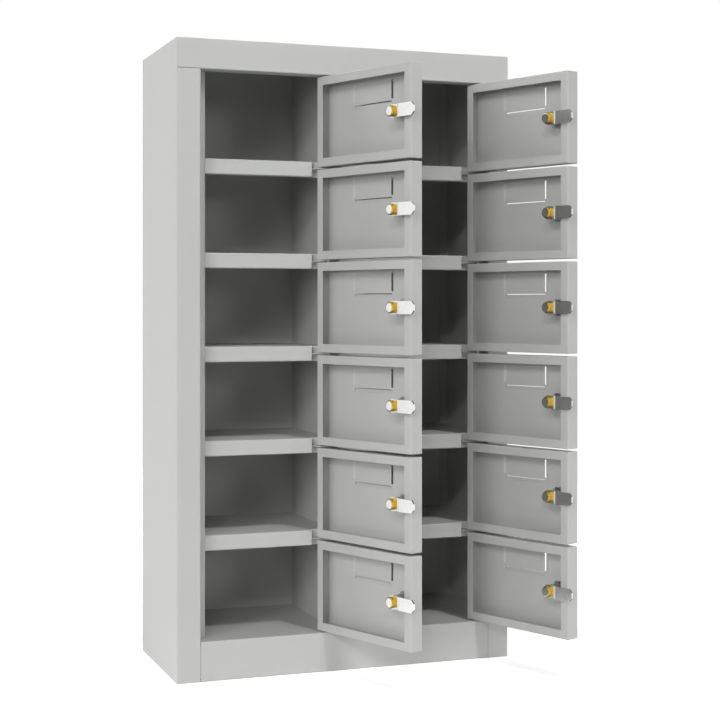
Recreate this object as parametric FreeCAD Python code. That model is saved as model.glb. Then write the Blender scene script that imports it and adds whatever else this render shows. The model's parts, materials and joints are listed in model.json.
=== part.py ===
import FreeCAD
import Part
import math
import os

# Small compartment locker of folded sheet steel: two columns of six right-hung doors with cam locks.
# Millimetres. The origin is at floor level in the middle of the back face. +Z is up, -Y is the front.

os.makedirs("parts", exist_ok=True)
Vector = FreeCAD.Vector

# Carcass
overall_width = 450.0
overall_depth = 200.0
overall_height = 800.0
sheet = 1.0
bend_radius = 0.6
stop_stile = 30.2
hinge_stile = 29.0
post_width = 29.4
rail_height = 38.0
plinth_height = 50.0
frame_depth = 22.0
lip_width = 10.5
rows = 6
columns = ("left", "right")
rear_flange = 14.0
inner_fold = 12.0
plinth_fold = 15.0
seam = 0.2

# Shelves and hinges
shelf_front = 19.4
shelf_fold = 12.0
hinge_end = 28.4
bracket_setback = 8.0
bracket_tab = 1.0
bracket_nose = 4.5
pin_radius = 2.0
pin_press = 0.02
pin_play = 0.05
pin_reach = 4.0

# Doors
door_sheet = 0.8
door_thickness = 18.5
door_flange = 11.0
free_flange = 12.0
door_bend = 0.4
hinge_gap = 2.4
free_gap = 0.9
row_gap = 3.4
pin_from_edge = 8.9
pin_from_front = 7.2
open_angle = 110.8

# Pressed label holder in each door skin
label_width = 68.0
label_side_height = 23.0
label_side_drop = 14.5
label_foot_drop = 41.0
label_foot_length = 69.0
side_slit = 0.9
foot_slit = 0.8
louvre_height = 2.2
louvre_run = 4.2

# Cam locks
lock_inset = 28.4
barrel_radius = 8.0
barrel_rim_radius = 10.0
barrel_rim = 1.5
barrel_length = 20.6
barrel_play = 0.05
nut_across_flats = 20.0
nut_thickness = 3.5
plug_radius = 5.5
plug_play = 0.05
keyway_width = 1.4
keyway_height = 7.0
keyway_depth = 8.0
tail_square = 7.0
tail_play = 0.1
tail_end_radius = 7.0
tail_end_length = 6.0
tail_end_round = 2.0
cam_thickness = 2.0
cam_hub_radius = 8.5
cam_width = 16.0
cam_reach = 40.4
cam_lip_clearance = 0.4
crank_start = 8.6
crank_run = 4.9
tip_chamfer = 4.4

# Places worked out from the sizes above
half_width = overall_width / 2
front = -overall_depth
lip_front = front + frame_depth
lip_back = lip_front + sheet
opening_top = overall_height - rail_height
opening_height = opening_top - plinth_height
opening_width = (overall_width - stop_stile - hinge_stile - post_width) / 2
row_pitch = opening_height / rows
column_left = {"left": stop_stile - half_width, "right": half_width - hinge_stile - opening_width}
column_right = {name: left + opening_width for name, left in column_left.items()}
divider_left = column_right["left"] + sheet
inner_left = {"left": sheet - half_width, "right": divider_left + sheet}
inner_right = {"left": divider_left, "right": half_width - sheet}
shelf_levels = [plinth_height + row_pitch * n for n in range(1, rows)]
door_width = opening_width - hinge_gap - free_gap
door_height = row_pitch - row_gap
pin_y = front + pin_from_front
pin_x = {name: right - hinge_gap - pin_from_edge for name, right in column_right.items()}
bracket_front = lip_front + bracket_setback
bracket_back = bracket_front + sheet
lock_x = lock_inset - door_width
hub_front = barrel_length + cam_lip_clearance
hub_back = hub_front + cam_thickness
arm_front = frame_depth + sheet + cam_lip_clearance
flange_front = -2 * sheet - bend_radius - seam
far = 2 * overall_height


def box(low, high):
    """A plain block between two corners."""
    size = [b - a for a, b in zip(low, high)]
    return Part.makeBox(*size, Vector(*low))


def cylinder(radius, base, height, axis):
    return Part.makeCylinder(radius, height, Vector(*base), axis)


def without(shape, tools):
    for tool in tools:
        shape = shape.cut(tool)
    return shape


def heading(start, end):
    """The unit direction from one point of a path to the next."""
    length = math.dist(start, end)
    return (end[0] - start[0]) / length, (end[1] - start[1]) / length


def headings_at(path, n):
    """The directions into and out of a point of a path, alike at its two ends."""
    before = heading(path[n - 1], path[n]) if n else heading(path[0], path[1])
    after = heading(path[n], path[n + 1]) if n < len(path) - 1 else before
    return before, after


def parallel(path, distance):
    """The path moved sideways to its left."""
    moved = []
    for n, (a, b) in enumerate(path):
        before, after = headings_at(path, n)
        reach = distance / (1 + before[0] * after[0] + before[1] * after[1])
        moved.append((a - (before[1] + after[1]) * reach, b + (before[0] + after[0]) * reach))
    return moved


def face_edges(path, place, left_radius, right_radius):
    """Edges along one face of a folded sheet, with an arc at each bend to the left or to the right."""
    edges = []
    last = place(*path[0])
    for n in range(1, len(path) - 1):
        corner = path[n]
        before, after = headings_at(path, n)
        cross = before[0] * after[1] - before[1] * after[0]
        turn = abs(math.atan2(cross, before[0] * after[0] + before[1] * after[1]))
        radius = left_radius if cross > 0 else right_radius
        run = radius * math.tan(turn / 2)
        rise = radius * (1 / math.cos(turn / 2) - 1)
        inward = heading(corner, (corner[0] - before[0] + after[0], corner[1] - before[1] + after[1]))
        enter = place(corner[0] - before[0] * run, corner[1] - before[1] * run)
        middle = place(corner[0] + inward[0] * rise, corner[1] + inward[1] * rise)
        leave = place(corner[0] + after[0] * run, corner[1] + after[1] * run)
        edges.append(Part.LineSegment(last, enter).toShape())
        edges.append(Part.Arc(enter, middle, leave).toShape())
        last = leave
    edges.append(Part.LineSegment(last, place(*path[-1])).toShape())
    return edges


def folded(path, place, length):
    """A sheet folded along a path, lying to the path's left, and as long as the given vector."""
    other = parallel(path, sheet)
    outer = bend_radius + sheet
    edges = face_edges(path, place, outer, bend_radius)
    back = face_edges(other, place, bend_radius, outer)
    ends = [Part.LineSegment(place(*path[k]), place(*other[k])).toShape() for k in (0, -1)]
    outline = Part.Wire(Part.__sortEdges__(edges + back + ends))
    return Part.Face(outline).extrude(length)


def upright(path, low, high):
    """A sheet folded along a path of x and y, standing between two heights."""
    return folded(path, lambda a, b: Vector(a, b, low), Vector(0, 0, high - low))


def level(path, left, right):
    """A sheet folded along a path of y and z, lying between two places across the width."""
    return folded(path, lambda a, b: Vector(left, a, b), Vector(right - left, 0, 0))


def prism(points, direction):
    """A straight bar with a polygon section."""
    ring = [Vector(*point) for point in points]
    return Part.Face(Part.makePolygon(ring + ring[:1])).extrude(direction)


def mirrored(shape):
    return shape.mirror(Vector(0, 0, 0), Vector(1, 0, 0))


def side_panel(stile_width, last_fold):
    """The left side wall with its front stile. The stile's return ends in a fold to the given place."""
    stile_edge = stile_width - half_width
    path = [
        (rear_flange - half_width, -sheet),
        (-half_width, -sheet),
        (-half_width, front),
        (stile_edge, front),
        (stile_edge, lip_front),
        (last_fold, lip_front),
    ]
    panel = upright(path, 0, overall_height - sheet)
    stile_top = opening_top - seam
    behind_rail = front + sheet + seam
    room_for_rail = [
        box((-half_width - sheet, front - sheet, stile_top), (0, behind_rail, far)),
        box((sheet - half_width, front - sheet, stile_top), (0, lip_back + seam, far)),
    ]
    lip_below_floor = box((stile_edge, lip_front - sheet, -sheet), (0, lip_back + seam, plinth_height))
    return without(panel, room_for_rail + [lip_below_floor])


def top_panel():
    """The top sheet, folded down into the front rail and back under it, with holes for the top pins."""
    path = [
        (0, overall_height),
        (front, overall_height),
        (front, opening_top),
        (lip_front, opening_top),
        (lip_front, opening_top + inner_fold),
    ]
    panel = level(path, -half_width, half_width)
    low = (half_width - sheet - seam, front + sheet, opening_top - sheet)
    room_for_side = box(low, (far, far, overall_height - sheet))
    holes = [pin_hole(name, opening_top) for name in columns]
    return without(panel, [room_for_side, mirrored(room_for_side)] + holes)


def bottom_panel():
    """The compartment floor, folded down into the plinth, with holes for the bottom pins."""
    path = [
        (-sheet, plinth_height - inner_fold),
        (-sheet, plinth_height),
        (front, plinth_height),
        (front, 0),
        (front + plinth_fold, 0),
    ]
    inside = half_width - sheet
    panel = level(path, -inside, inside)
    behind_lip = lip_back + seam
    room_for_stiles = [
        box((column_right["right"] - seam, front - sheet, -sheet), (far, behind_lip, far)),
        box((-far, front - sheet, -sheet), (column_left["left"] + seam, behind_lip, far)),
    ]
    room_for_flange = box((half_width - rear_flange - seam, flange_front, -sheet), (far, far, far))
    holes = [pin_hole(name, plinth_height - sheet) for name in columns]
    return without(panel, room_for_stiles + [room_for_flange, mirrored(room_for_flange)] + holes)


def pin_hole(name, low):
    """The hole that a hinge pin is pressed into, through one sheet."""
    return cylinder(pin_radius + pin_press, (pin_x[name], pin_y, low - sheet), 4 * sheet, Vector(0, 0, 1))


def back_panel():
    return box((-half_width, -sheet, 0), (half_width, 0, overall_height - sheet))


def centre_post():
    """The front post: a return lapped over the divider on its left, a door-stop lip on its right."""
    left = column_right["left"]
    right = column_left["right"]
    path = [
        (left, lip_front),
        (left, front),
        (right, front),
        (right, lip_front),
        (right + lip_width, lip_front),
    ]
    return upright(path, plinth_height, opening_top)


def centre_divider():
    """The wall between the columns, from inside the post to the back, notched under the front rail."""
    low = (divider_left, lip_front - inner_fold, plinth_height)
    wall = box(low, (divider_left + sheet, -sheet, overall_height - sheet))
    return wall.cut(box((-far, front, opening_top), (far, lip_front + seam, far)))


def shelf(name, middle):
    """One shelf: a deck with its front folded down and back, cleared round the lip, bracket and flange."""
    top = middle + shelf_front / 2
    foot = middle - shelf_front / 2
    path = [
        (-sheet, top - shelf_fold),
        (-sheet, top),
        (lip_front, top),
        (lip_front, foot),
        (lip_front + shelf_fold, foot),
    ]
    left = inner_left[name]
    right = inner_right[name]
    deck = level(path, left, right)
    lip_end = column_left[name] + lip_width + seam
    hinge_start = column_right[name] - hinge_end
    behind_fold = lip_front + shelf_fold + seam
    clearances = [
        box((left - sheet, front, foot - sheet), (lip_end, lip_back + seam, top + sheet)),
        box((hinge_start, front, foot - sheet), (right + sheet, bracket_back, top + sheet)),
        box((hinge_start, front, foot - sheet), (right + sheet, behind_fold, top - sheet)),
    ]
    flange_room = rear_flange + seam
    if name == "left":
        clearances.append(box((-far, flange_front, 0), (flange_room - half_width, sheet, far)))
    else:
        clearances.append(box((half_width - flange_room, flange_front, 0), (far, sheet, far)))
    return without(deck, clearances)


def hinge_bracket(name, middle):
    """A bracket at a shelf's hinge end: an upright leg, and a flat tab that carries the pin."""
    left = column_right[name] - hinge_end + seam
    right = column_right[name]
    half = shelf_front / 2
    leg = box((left, bracket_front, middle - half), (right, bracket_back, middle + half))
    low = middle - bracket_tab / 2
    nose = pin_y - bracket_nose
    outline = [
        (left, bracket_front, low),
        (left, lip_front - bracket_nose, low),
        (pin_x[name] - bracket_nose, nose, low),
        (right - seam, nose, low),
        (right - seam, bracket_front, low),
    ]
    tab = prism(outline, Vector(0, 0, bracket_tab))
    return leg.fuse(tab).cut(pin_hole(name, low)).removeSplitter()


def hinge_pin(name, level_height):
    """A pin through the frame at a row boundary, reaching into the doors above and below it."""
    reach = row_gap / 2 + door_sheet + pin_reach
    low = level_height - (sheet + pin_reach if level_height == plinth_height else reach)
    high = level_height + (sheet + pin_reach if level_height == opening_top else reach)
    return cylinder(pin_radius, (pin_x[name], pin_y, low), high - low, Vector(0, 0, 1))


def rounded_block(low, high, radius):
    block = box(low, high)
    return block.makeFillet(radius, block.Edges)


def louvre_section(slit, outward, face):
    """Three corners across a pressed louvre: at the slit, pushed out at the slit, and where it runs out."""
    return [(slit, face), (slit, face - louvre_height), (slit + outward * louvre_run, face)]


def label_holder(pan):
    """Presses the three louvres that hold a label card, and cuts the slits beside them."""
    middle = -door_width / 2
    side_low = door_height - label_side_drop - label_side_height
    foot_z = door_height - label_foot_drop
    foot_left = middle - label_foot_length / 2
    bumps = []
    hollows = []
    for bucket, face in ((bumps, 0), (hollows, door_sheet)):
        for outward in (-1, 1):
            section = louvre_section(middle + outward * (label_width + side_slit) / 2, outward, face)
            corners = [(a, b, side_low) for a, b in section]
            bucket.append(prism(corners, Vector(0, 0, label_side_height)))
        section = louvre_section(foot_z, -1, face)
        corners = [(foot_left, b, a) for a, b in section]
        bucket.append(prism(corners, Vector(label_foot_length, 0, 0)))
    slits = []
    for outward in (-1, 1):
        slit_x = middle + outward * label_width / 2
        slit_low = (slit_x - side_slit / 2, -far, side_low)
        slit_high = (slit_x + side_slit / 2, 2 * door_sheet, side_low + label_side_height)
        slits.append(box(slit_low, slit_high))
    foot_right = foot_left + label_foot_length
    slits.append(box((foot_left, -far, foot_z), (foot_right, 2 * door_sheet, foot_z + foot_slit)))
    return without(pan.fuse(bumps), hollows + slits).removeSplitter()


def door_pan():
    """A closed door in its own place: hinge edge at x = 0, outer face at y = 0, foot at z = 0."""
    outer = rounded_block((-door_width, 0, 0), (0, door_thickness, door_height), door_bend + door_sheet)
    inner_low = (door_sheet - door_width, door_sheet, door_sheet)
    inner_high = (-door_sheet, door_thickness - door_sheet, door_height - door_sheet)
    inside = rounded_block(inner_low, inner_high, door_bend)
    window_low = (free_flange - door_width, door_thickness / 2, door_flange)
    window_high = (-door_flange, 2 * door_thickness, door_height - door_flange)
    pivot_base = (-pin_from_edge, pin_from_front, -far)
    pivot = cylinder(pin_radius + pin_play, pivot_base, 2 * far, Vector(0, 0, 1))
    lock_hole = lock_disc(barrel_radius + barrel_play, -door_sheet, 2 * door_sheet)
    pan = without(outer, [inside, box(window_low, window_high), pivot, lock_hole])
    return label_holder(pan)


def lock_disc(radius, low, high):
    """A round disc on the lock's axis, between two depths behind the door's outer face."""
    return cylinder(radius, (lock_x, low, door_height / 2), high - low, Vector(0, 1, 0))


def lock_barrel():
    """The lock's shell with its rim, clamped in the door skin by a hexagon nut, a second solid."""
    rim = lock_disc(barrel_rim_radius, -barrel_rim, 0)
    outer_ring = [edge for edge in rim.Edges if edge.BoundBox.YMax < -barrel_rim / 2 and edge.Closed]
    rim = rim.makeFillet(barrel_rim / 2, outer_ring)
    bore = lock_disc(plug_radius + plug_play, -far, far)
    shell = rim.fuse(lock_disc(barrel_radius, 0, barrel_length)).cut(bore).removeSplitter()
    corner = nut_across_flats / math.sqrt(3)
    angles = [math.radians(60 * n) for n in range(6)]
    points = [
        (lock_x + corner * math.cos(a), door_sheet, door_height / 2 + corner * math.sin(a))
        for a in angles
    ]
    nut = prism(points, Vector(0, nut_thickness, 0)).cut(lock_disc(barrel_radius + barrel_play, -far, far))
    return Part.makeCompound([shell, nut])


def lock_square(side, low, high):
    """A square bar on the lock's axis, between two depths."""
    half = side / 2
    middle = door_height / 2
    return box((lock_x - half, low, middle - half), (lock_x + half, high, middle + half))


def lock_plug():
    """The turning core: a keyway in front, a square tail through the cam, and a round retaining end."""
    core = lock_disc(plug_radius, -barrel_rim, hub_front)
    tail = lock_square(tail_square - 2 * tail_play, hub_front, hub_back)
    end = lock_disc(tail_end_radius, hub_back, hub_back + tail_end_length)
    half_way = hub_back + tail_end_length / 2
    rim = [edge for edge in end.Edges if edge.Closed and edge.BoundBox.YMin > half_way]
    end = end.makeFillet(tail_end_round, rim)
    middle = door_height / 2
    keyway_low = (lock_x - keyway_width / 2, -far, middle - keyway_height / 2)
    keyway_high = (lock_x + keyway_width / 2, keyway_depth, middle + keyway_height / 2)
    return core.fuse([tail, end]).cut(box(keyway_low, keyway_high)).removeSplitter()


def lock_cam():
    """The cam: a round hub, a crank and a straight arm with a chamfered tip."""
    middle = door_height / 2
    crank = lock_x - crank_start
    tip = lock_x - cam_reach
    hub_end = lock_x + cam_hub_radius
    arm_start = crank - crank_run
    arm_back = arm_front + cam_thickness
    low = middle - cam_hub_radius
    section = [
        (hub_end, hub_front, low),
        (hub_end, hub_back, low),
        (crank, hub_back, low),
        (arm_start, arm_back, low),
        (tip, arm_back, low),
        (tip, arm_front, low),
        (arm_start, arm_front, low),
        (crank, hub_front, low),
    ]
    bar = prism(section, Vector(0, 0, 2 * cam_hub_radius))
    half = cam_width / 2
    plan = [
        (lock_x, 0, middle + half),
        (tip + tip_chamfer, 0, middle + half),
        (tip, 0, middle + half - tip_chamfer),
        (tip, 0, middle - half + tip_chamfer),
        (tip + tip_chamfer, 0, middle - half),
        (lock_x, 0, middle - half),
    ]
    outline = prism(plan, Vector(0, 2 * arm_back, 0)).fuse(lock_disc(cam_hub_radius, 0, 2 * arm_back))
    return bar.common(outline).cut(lock_square(tail_square, 0, arm_back)).removeSplitter()


def hung(shape, name, row):
    """A door piece hung in its compartment and swung open. Row 1 is the top one."""
    placed = shape.copy()
    foot = plinth_height + row_pitch * (rows - row) + row_gap / 2
    placed.translate(Vector(column_right[name] - hinge_gap, front, foot))
    placed.rotate(Vector(pin_x[name], pin_y, 0), Vector(0, 0, 1), open_angle)
    return placed


def save(node, shape):
    shape.exportStep(f"parts/{node}.step")


lip_edge = column_left["left"] + lip_width
fold_edge = hinge_stile - inner_fold - half_width
save("left_side_panel", side_panel(stop_stile, lip_edge))
save("right_side_panel", mirrored(side_panel(hinge_stile, fold_edge)))
save("top_panel", top_panel())
save("bottom_panel", bottom_panel())
save("back_panel", back_panel())
save("centre_post", centre_post())
save("centre_divider", centre_divider())

brackets = []
pins = []
for column in columns:
    save(f"{column}_shelves", Part.makeCompound([shelf(column, z) for z in shelf_levels]))
    brackets += [hinge_bracket(column, z) for z in shelf_levels]
    pins += [hinge_pin(column, z) for z in [plinth_height] + shelf_levels + [opening_top]]
save("hinge_brackets", Part.makeCompound(brackets))
save("hinge_pins", Part.makeCompound(pins))

door_pieces = {
    "door": door_pan(),
    "lock_barrel": lock_barrel(),
    "lock_plug": lock_plug(),
    "lock_cam": lock_cam(),
}
for column in columns:
    for row in range(1, rows + 1):
        for piece, shape in door_pieces.items():
            save(f"{column}_{piece}_{row}", hung(shape, column, row))
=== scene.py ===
"""Looks of the small compartment locker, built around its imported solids.

Every length is in metres, in the frame of the solids: Z up, doors towards -Y, the origin on the floor
in the middle of the back.
"""
import json
import math
from collections import namedtuple

import bpy
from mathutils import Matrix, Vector

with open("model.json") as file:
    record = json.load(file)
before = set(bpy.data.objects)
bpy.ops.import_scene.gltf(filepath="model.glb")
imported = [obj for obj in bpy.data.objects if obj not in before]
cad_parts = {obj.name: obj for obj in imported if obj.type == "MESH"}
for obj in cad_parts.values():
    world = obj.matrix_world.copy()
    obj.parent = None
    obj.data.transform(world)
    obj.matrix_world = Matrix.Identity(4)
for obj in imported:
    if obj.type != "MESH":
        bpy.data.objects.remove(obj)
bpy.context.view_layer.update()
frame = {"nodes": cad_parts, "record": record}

# Colours

PAINT = (0.493, 0.499, 0.486)
# The next colour is a painted highlight: a lighter grey laid along the edges of the coat.
PAINT_EDGE_HIGHLIGHT = (0.56, 0.56, 0.548)
# The next colour is painted light, for the bracket legs that lie in shade.
PAINT_LEG_PAINTED_LIGHT = (0.86, 0.86, 0.845)
PIN_STEEL = (0.66, 0.66, 0.65)
NICKEL = (0.80, 0.79, 0.76)
# The next colour is painted shade, for the lock barrel and nut behind the cam.
NUT_PAINTED_SHADE = (0.42, 0.41, 0.39)
BRASS = (0.66, 0.43, 0.06)
# The next colour is painted shade, for the underside of the brass lock plug.
BRASS_PAINTED_SHADE = (0.20, 0.11, 0.02)
# The next colour is polished steel on a lock plug's end, and a painted highlight on the near side of its
# rounding.
POLISHED_AND_HIGHLIGHT = (0.86, 0.86, 0.85)
ZINC = (0.955, 0.955, 0.925)
# The next colour is a painted dark reflection, for the slanting cuts at a cam's tip.
TIP_PAINTED_DARK = (0.10, 0.10, 0.095)

# Noise: a scale is in waves to the metre, and a span is the stretch of the noise that is used

NOISE_SPAN = (0.3, 0.7)

# Powder coat

COAT_EDGE = 0.0006
# How much of the painted edge highlight shows
COAT_EDGE_HIGHLIGHT_SHARE = 0.15
COAT_GLOSS_SPAN = (0.5, 1.0)
COAT_ROUGHNESS = (0.42, 0.50)
COAT_IOR = 1.5
CLOUD_SCALE = 9.0
CLOUD_SHADES = (0.985, 1.015)
GRAIN_SCALE = 260.0
GRAIN_SPAN = (0.35, 0.65)
GRAIN_SHADE = 0.93
GRAIN_SHARE = 0.12
GRAIN_IN_GLOSS = 0.5
WAVE_SCALE = 42.0
WAVE_STRENGTH = 0.04
WAVE_HEIGHT = 0.0003
PEEL_SCALE = 620.0
PEEL_ROUGHNESS = 0.45
PEEL_STRENGTH = 0.10
PEEL_HEIGHT = 0.00004

# Bare metal

METAL_EDGE = 0.00025
# Metal edges get a painted highlight: a lighter shade of the metal's own colour.
METAL_EDGE_HIGHLIGHT_SHARE = 0.4
METAL_EDGE_HIGHLIGHT_SHADE = 1.08
METAL_GLOSS_SPAN = (0.7, 1.3)
METAL_ROUGHNESS_SPREAD = (0.85, 1.15)
DULL_SCALE = 180.0
DULL_SHADE = 0.94
LINE_ROUGHNESS = 0.6
LINE_HEIGHT = 0.00002

# Where a piece's edge begins and is full, as the cosine between its rounded and its flat face

EDGE_BEGINS = 0.995
EDGE_FULL = 0.80
EDGE_SAMPLES = 4

# Places and directions on the pieces, with the doors at rest

DOOR_OPENING = math.radians(110.8)
# The side of the lock plug that gets the polish and the painted highlight
POLISH_AND_HIGHLIGHT_TURN = DOOR_OPENING - math.radians(25.0)
LOCK_INWARD = (-math.sin(DOOR_OPENING), math.cos(DOOR_OPENING), 0.0)
LOCK_POLISH_AND_HIGHLIGHT = (-math.sin(POLISH_AND_HIGHLIGHT_TURN), math.cos(POLISH_AND_HIGHLIGHT_TURN), 0.0)
UP = (0.0, 0.0, 1.0)
DOWN = (0.0, 0.0, -1.0)
BRACKET_TAB_END = -0.1705
BRACKET_LEG_START = -0.1702

# Camera, at the photograph's angle

CAMERA_PLACE = (-0.66995, -2.07347, 0.46711)
CAMERA_YAW = math.radians(-20.09)
CAMERA_LEVEL = math.radians(90.0)
CAMERA_LENS = 77.46
CAMERA_SENSOR = 36.0
CAMERA_SHIFT_Y = -0.0749
CAMERA_CLIP = (0.05, 100.0)

# Soft light and lamps: bearing from the front and height above the floor in degrees, left negative

Lobe = namedtuple("Lobe", "bearing height strength")
SKY_LOBES = (
    Lobe(-80.0, 10.0, strength=1.576),
    Lobe(-40.0, 10.0, strength=0.164),
    Lobe(70.0, 10.0, strength=1.07),
    Lobe(120.0, 15.0, strength=0.60),
)
SKY_LOBE_POWER = 8.0

MIDDLE = (0.0, -0.10, 0.40)
RIGHT_FOOT = (0.20, -0.20, 0.03)
LAMP_DISTANCE = 6.5
LAMP_WIDTH = 1.2
Lamp = namedtuple(
    "Lamp", "bearing height watts distance width target", defaults=(LAMP_DISTANCE, LAMP_WIDTH, MIDDLE))
LAMPS = {
    "key": Lamp(15.0, 53.0, watts=38.2, distance=3.2, width=0.4),
    "low_fill": Lamp(45.0, 5.0, watts=0.35, distance=0.6, width=0.15, target=RIGHT_FOOT),
    "high": Lamp(-10.0, 70.0, watts=15.7),
    "right_low": Lamp(18.0, 10.0, watts=34.5),
    "left_spot": Lamp(-25.0, 26.0, watts=44.6, width=0.5),
    "left_near": Lamp(-30.0, 22.0, watts=29.1),
    "left_level": Lamp(-40.0, 12.0, watts=26.6),
    "left_middle": Lamp(-45.0, 25.0, watts=55.2),
    "left_low": Lamp(-48.0, 6.0, watts=49.7),
    "side": Lamp(-140.0, 5.0, watts=186.0),
    "side_high": Lamp(-110.0, 35.0, watts=43.0),
}

# Floor: pale out to its end, with a glow for the eye alone, which is less where the shadow falls

WHITE = (1.0, 1.0, 1.0)
BLACK = (0.0, 0.0, 0.0)
FLOOR_HALF = 40.0
FLOOR_PALE = (0.86, 0.86, 0.86)
FLOOR_ROUGHNESS = 0.9
FLOOR_END = (1.2, 2.4)
FLOOR_GLOW_FADE = (0.35, 0.95)
FLOOR_GLOW = (0.57, 1.0)
FLOOR_MIRRORED_GLOW = (0.35, 0.95)


# Node helpers

class Tree:
    """Adds nodes to a node tree and joins them up."""

    def __init__(self, tree):
        self.tree = tree

    def add(self, kind, links=None, **values):
        node = self.tree.nodes.new(kind)
        for key, value in values.items():
            setattr(node, key, value)
        for key, value in (links or {}).items():
            self.put(node, key, value)
        return node

    def put(self, node, key, value):
        """Sets an input to a value, or joins it to an output."""
        socket = node.inputs[key]
        if isinstance(value, bpy.types.NodeSocket):
            self.tree.links.new(value, socket)
        else:
            socket.default_value = value

    def coordinates(self, kind):
        """Coordinates of one kind: Object and Normal are in the piece's own frame."""
        return self.add("ShaderNodeTexCoord").outputs[kind]

    def noise(self, where, scale, detail=2.0, rough=0.5):
        links = {"Vector": where, "Scale": scale, "Detail": detail, "Roughness": rough}
        return self.add("ShaderNodeTexNoise", links).outputs["Fac"]

    def remap(self, value, low, high, to_low=0.0, to_high=1.0):
        links = {"Value": value, "From Min": low, "From Max": high, "To Min": to_low, "To Max": to_high}
        return self.add("ShaderNodeMapRange", links).outputs["Result"]

    def math(self, operation, a, b=0.0):
        return self.add("ShaderNodeMath", {0: a, 1: b}, operation=operation).outputs[0]

    def mix(self, share, a, b):
        """Mixes two colours, which a mix node takes in at 6 and 7 and gives out at 2."""
        return self.add("ShaderNodeMix", {0: share, 6: a, 7: b}, data_type="RGBA").outputs[2]

    def blend(self, share, a, b):
        """Mixes two numbers, which a mix node takes in at 2 and 3 and gives out at 0."""
        return self.add("ShaderNodeMix", {0: share, 2: a, 3: b}, data_type="FLOAT").outputs[0]

    def dot(self, a, b):
        return self.add("ShaderNodeVectorMath", {0: a, 1: b}, operation="DOT_PRODUCT").outputs["Value"]

    def length(self, where):
        return self.add("ShaderNodeVectorMath", {0: where}, operation="LENGTH").outputs["Value"]

    def scaled(self, where, factors):
        return self.add("ShaderNodeVectorMath", {0: where, 1: factors}, operation="MULTIPLY").outputs[0]

    def facing(self, direction):
        """How far a face looks along a direction of its piece's own frame."""
        return self.dot(self.coordinates("Normal"), direction)

    def bump(self, height, strength, distance, normal):
        links = {"Height": height, "Strength": strength, "Distance": distance, "Normal": normal}
        return self.add("ShaderNodeBump", links).outputs["Normal"]


def colour(rgb, shade=1.0):
    """A shade of a colour, with full alpha."""
    return (*(min(1.0, shade * c) for c in rgb), 1.0)


def surface(name):
    """A new material with its tree and its shader."""
    made = bpy.data.materials.new(name)
    made.use_nodes = True
    return made, Tree(made.node_tree), made.node_tree.nodes["Principled BSDF"]


def edge_mask(tree, width):
    """1 along the edges of a piece, within about that width, and 0 on its faces; and the rounded normal."""
    rounded = tree.add("ShaderNodeBevel", {"Radius": width}, samples=EDGE_SAMPLES).outputs["Normal"]
    flat = tree.add("ShaderNodeNewGeometry").outputs["Normal"]
    return tree.remap(tree.dot(rounded, flat), EDGE_BEGINS, EDGE_FULL), rounded


# Zones of a piece with a finish of their own: where the mask is 1, the other three values hold

Zone = namedtuple("Zone", "mask tint gloss metallic")


def bracket_leg_painted_light(tree):
    """The upright leg of a hinge bracket, painted paler than its tab: painted light on a leg that lies in
    shade.
    """
    depth = tree.add("ShaderNodeSeparateXYZ", {0: tree.coordinates("Object")}).outputs["Y"]
    behind = tree.remap(depth, BRACKET_TAB_END, BRACKET_LEG_START)
    return Zone(behind, PAINT_LEG_PAINTED_LIGHT, gloss=0.5, metallic=0.0)


def inside_painted_shade(tree):
    """A lock barrel and its nut behind the plated face, painted dark: painted shade."""
    inside = tree.remap(tree.facing(LOCK_INWARD), low=-0.7, high=-0.5)
    return Zone(inside, NUT_PAINTED_SHADE, gloss=0.45, metallic=1.0)


def underside_painted_shade(tree):
    """The lower side of a lock plug, painted dark brown: painted shade on its underside."""
    below = tree.remap(tree.facing(DOWN), low=0.15, high=0.85)
    return Zone(below, BRASS_PAINTED_SHADE, gloss=0.30, metallic=1.0)


def polished_end_and_highlight(tree):
    """The flat end of a lock plug, polished bright, and the near side of its rounding, painted pale as a
    painted highlight.
    """
    polish_and_highlight = tree.remap(tree.facing(LOCK_POLISH_AND_HIGHLIGHT), low=0.80, high=0.86)
    return Zone(polish_and_highlight, POLISHED_AND_HIGHLIGHT, gloss=0.10, metallic=1.0)


def bent_crank(tree):
    """The slanting step of a cam between its hub and its arm, dulled by the bend."""
    inward = tree.facing(LOCK_INWARD)
    not_flat = tree.remap(inward, low=0.94, high=0.98, to_low=1.0, to_high=0.0)
    not_edge = tree.remap(inward, low=0.4, high=0.6)
    return Zone(tree.math("MULTIPLY", not_flat, not_edge), ZINC, gloss=0.60, metallic=0.2)


def tip_cuts_painted_dark(tree):
    """The two slanting cuts at a cam's tip, painted near black: a painted dark reflection."""
    upward = tree.math("ABSOLUTE", tree.facing(UP))
    not_upright = tree.remap(upward, low=0.55, high=0.65)
    not_level = tree.remap(upward, low=0.80, high=0.90, to_low=1.0, to_high=0.0)
    return Zone(tree.math("MULTIPLY", not_upright, not_level), TIP_PAINTED_DARK, gloss=0.45, metallic=1.0)


# Finishes

def lay_finish(tree, shader, tint, gloss, metallic, zones):
    """Gives the shader its colour, roughness and metallic share, with each zone laid over the last."""
    for make_zone in zones:
        zone = make_zone(tree)
        tint = tree.mix(zone.mask, tint, colour(zone.tint))
        gloss = tree.blend(zone.mask, gloss, zone.gloss)
        if zone.metallic != metallic:
            metallic = tree.blend(zone.mask, metallic, zone.metallic)
    tree.put(shader, "Base Color", tint)
    tree.put(shader, "Roughness", gloss)
    tree.put(shader, "Metallic", metallic)


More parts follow.
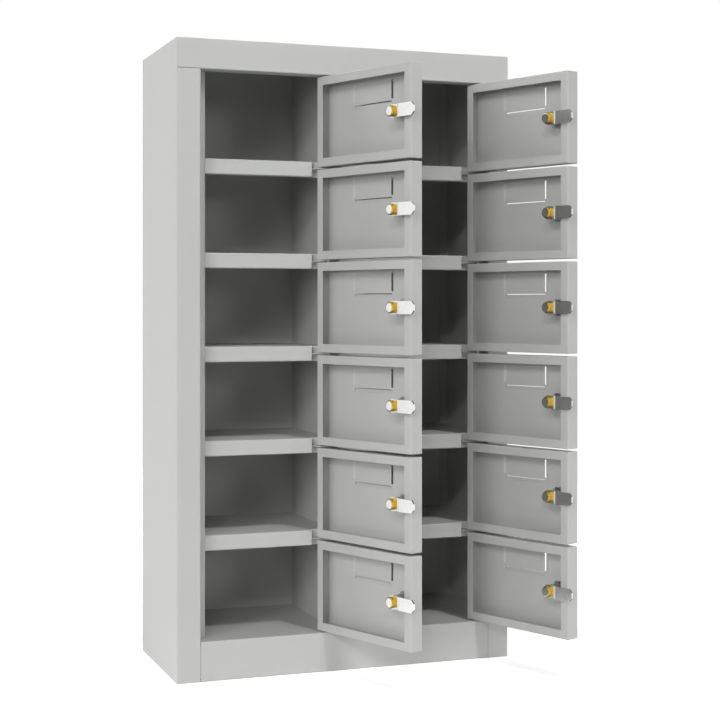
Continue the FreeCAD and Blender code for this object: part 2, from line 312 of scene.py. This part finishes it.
def paint(name, zones=()):
    """Satin light grey powder coat: fine orange peel, faint clouding, and a lighter colour along the edges,
    which is a painted highlight.
    """
    made, tree, shader = surface(name)
    where = tree.coordinates("Object")
    edge, rounded = edge_mask(tree, COAT_EDGE)
    cloud = tree.noise(where, CLOUD_SCALE, detail=3.0)
    grain = tree.noise(where, GRAIN_SCALE)
    wave = tree.noise(where, WAVE_SCALE, detail=1.0)
    peel = tree.noise(where, PEEL_SCALE, rough=PEEL_ROUGHNESS)
    shades = [colour(PAINT, shade) for shade in CLOUD_SHADES]
    clouded = tree.mix(tree.remap(cloud, *NOISE_SPAN), *shades)
    speckles = tree.remap(grain, *GRAIN_SPAN, to_high=GRAIN_SHARE)
    speckled = tree.mix(speckles, clouded, colour(PAINT, GRAIN_SHADE))
    # The edges are painted lighter: a painted highlight.
    edge_highlighted = tree.mix(tree.math("MULTIPLY", edge, COAT_EDGE_HIGHLIGHT_SHARE), speckled, colour(PAINT_EDGE_HIGHLIGHT))
    uneven = tree.math("ADD", cloud, tree.math("MULTIPLY", grain, GRAIN_IN_GLOSS))
    gloss = tree.remap(uneven, *COAT_GLOSS_SPAN, *COAT_ROUGHNESS)
    lay_finish(tree, shader, edge_highlighted, gloss, metallic=0.0, zones=zones)
    waved = tree.bump(wave, WAVE_STRENGTH, WAVE_HEIGHT, rounded)
    tree.put(shader, "Normal", tree.bump(peel, PEEL_STRENGTH, PEEL_HEIGHT, waved))
    tree.put(shader, "IOR", COAT_IOR)
    return made


def metal(name, base, rough, scratch, streak, zones=()):
    """Bright metal with fine drawn lines, a little dulling, and softened edges with a painted highlight
    along them.
    """
    made, tree, shader = surface(name)
    where = tree.coordinates("Object")
    edge, rounded = edge_mask(tree, METAL_EDGE)
    lines = tree.noise(tree.scaled(where, streak), scale=1.0, detail=3.0, rough=LINE_ROUGHNESS)
    dull = tree.noise(where, DULL_SCALE, detail=3.0)
    toned = tree.mix(tree.remap(dull, *NOISE_SPAN), colour(base, DULL_SHADE), colour(base))
    # Painted highlight: the edges are tinted lighter.
    tint = tree.mix(tree.math("MULTIPLY", edge, METAL_EDGE_HIGHLIGHT_SHARE), toned, colour(base, METAL_EDGE_HIGHLIGHT_SHADE))
    spread = [share * rough for share in METAL_ROUGHNESS_SPREAD]
    gloss = tree.remap(tree.math("ADD", dull, lines), *METAL_GLOSS_SPAN, *spread)
    lay_finish(tree, shader, tint, gloss, metallic=1.0, zones=zones)
    tree.put(shader, "Normal", tree.bump(lines, scratch, LINE_HEIGHT, rounded))
    return made


FINISHES = {
    "carcass_paint": paint("carcass_powder_coat"),
    "door_paint": paint("door_powder_coat"),
    "pin_steel": metal(
        "pin_bright_steel", PIN_STEEL, rough=0.20, scratch=0.2, streak=(300.0, 300.0, 60.0)),
    "lock_chrome": metal(
        "lock_nickel_plate", NICKEL, rough=0.16, scratch=0.1, streak=(400.0, 400.0, 400.0),
        zones=(inside_painted_shade,)),
    "lock_brass": metal(
        "lock_brass", BRASS, rough=0.20, scratch=0.15, streak=(500.0, 500.0, 500.0),
        zones=(underside_painted_shade, polished_end_and_highlight)),
    "cam_steel": metal(
        "cam_zinc_plate", ZINC, rough=0.22, scratch=0.1, streak=(700.0, 700.0, 40.0),
        zones=(bent_crank, tip_cuts_painted_dark)),
}

# The bracket legs get painted light.
NODE_FINISHES = {"hinge_brackets": paint("bracket_powder_coat", zones=(bracket_leg_painted_light,))}

for subpart in frame["record"]["subparts"]:
    node = frame["nodes"][subpart["node"]]
    finish = NODE_FINISHES.get(subpart["node"], FINISHES[subpart["material_slot"]])
    node.data.materials.clear()
    node.data.materials.append(finish)


# Floor, light and camera

def place(name, data):
    """A new object in the scene."""
    placed = bpy.data.objects.new(name, data)
    bpy.context.scene.collection.objects.link(placed)
    return placed


def seen_directly(tree):
    """1 for what the camera sees, straight or in a mirror, and 0 for light that falls on the object."""
    path = tree.add("ShaderNodeLightPath").outputs
    mirrored = tree.math("MAXIMUM", path["Is Glossy Ray"], path["Is Transmission Ray"])
    return tree.math("MAXIMUM", path["Is Camera Ray"], mirrored)


def floor_finish():
    """White to the eye all over, and pale to the light as far as the floor's end."""
    made, tree, shader = surface("pale_floor")
    away = tree.length(tree.coordinates("Object"))
    past_end = tree.remap(away, *FLOOR_END)
    tree.put(shader, "Base Color", tree.mix(past_end, colour(FLOOR_PALE), colour(BLACK)))
    tree.put(shader, "Roughness", FLOOR_ROUGHNESS)
    tree.put(shader, "Specular IOR Level", 0.0)
    straight = tree.remap(away, *FLOOR_GLOW_FADE, *FLOOR_GLOW)
    mirrored = tree.remap(away, *FLOOR_END, *FLOOR_MIRRORED_GLOW)
    camera_ray = tree.add("ShaderNodeLightPath").outputs["Is Camera Ray"]
    glow = tree.blend(camera_ray, mirrored, straight)
    tree.put(shader, "Emission Color", colour(WHITE))
    tree.put(shader, "Emission Strength", tree.math("MULTIPLY", seen_directly(tree), glow))
    return made


def make_floor():
    """A pale floor that stays white to the eye and still takes the locker's soft shadow."""
    mesh = bpy.data.meshes.new("floor")
    corners = [(x * FLOOR_HALF, y * FLOOR_HALF, 0.0) for x, y in ((-1, -1), (1, -1), (1, 1), (-1, 1))]
    mesh.from_pydata(corners, [], [(0, 1, 2, 3)])
    mesh.materials.append(floor_finish())
    floor = place("floor", mesh)


def toward(bearing, height):
    """The direction from the locker to a place around it."""
    turn, rise = math.radians(bearing), math.radians(height)
    return math.sin(turn) * math.cos(rise), -math.cos(turn) * math.cos(rise), math.sin(rise)


def make_world():
    """White surroundings to the eye, and for the light soft low lobes on both sides."""
    world = bpy.data.worlds.new("studio")
    bpy.context.scene.world = world
    world.use_nodes = True
    tree = Tree(world.node_tree)
    sky = world.node_tree.nodes["Background"]
    way = tree.coordinates("Generated")
    light = 0.0
    for lobe in SKY_LOBES:
        near = tree.math("MAXIMUM", tree.dot(way, toward(lobe.bearing, lobe.height)))
        soft = tree.math("POWER", near, SKY_LOBE_POWER)
        light = tree.math("ADD", tree.math("MULTIPLY", soft, lobe.strength), light)
    tree.put(sky, "Color", colour(WHITE))
    tree.put(sky, "Strength", tree.blend(seen_directly(tree), light, 1.0))


def make_lamps():
    """Soft round lamps, which neither the camera nor a mirror sees."""
    for name, lamp in LAMPS.items():
        data = bpy.data.lights.new(name, "AREA")
        data.shape = "DISK"
        data.size = lamp.width
        data.energy = lamp.watts
        way = Vector(toward(lamp.bearing, lamp.height))
        placed = place(name, data)
        placed.location = Vector(lamp.target) + lamp.distance * way
        placed.rotation_euler = way.to_track_quat("Z", "Y").to_euler()
        placed.visible_camera = False
        placed.visible_glossy = False


def make_camera():
    """A level camera with its picture shifted down, which keeps the uprights upright."""
    data = bpy.data.cameras.new("camera")
    data.sensor_width = CAMERA_SENSOR
    data.lens = CAMERA_LENS
    data.shift_y = CAMERA_SHIFT_Y
    data.clip_start, data.clip_end = CAMERA_CLIP
    camera = place("camera", data)
    camera.location = CAMERA_PLACE
    camera.rotation_euler = (CAMERA_LEVEL, 0.0, CAMERA_YAW)
    bpy.context.scene.camera = camera


make_floor()
make_world()
make_lamps()
make_camera()
bpy.context.scene.view_settings.view_transform = "Standard"
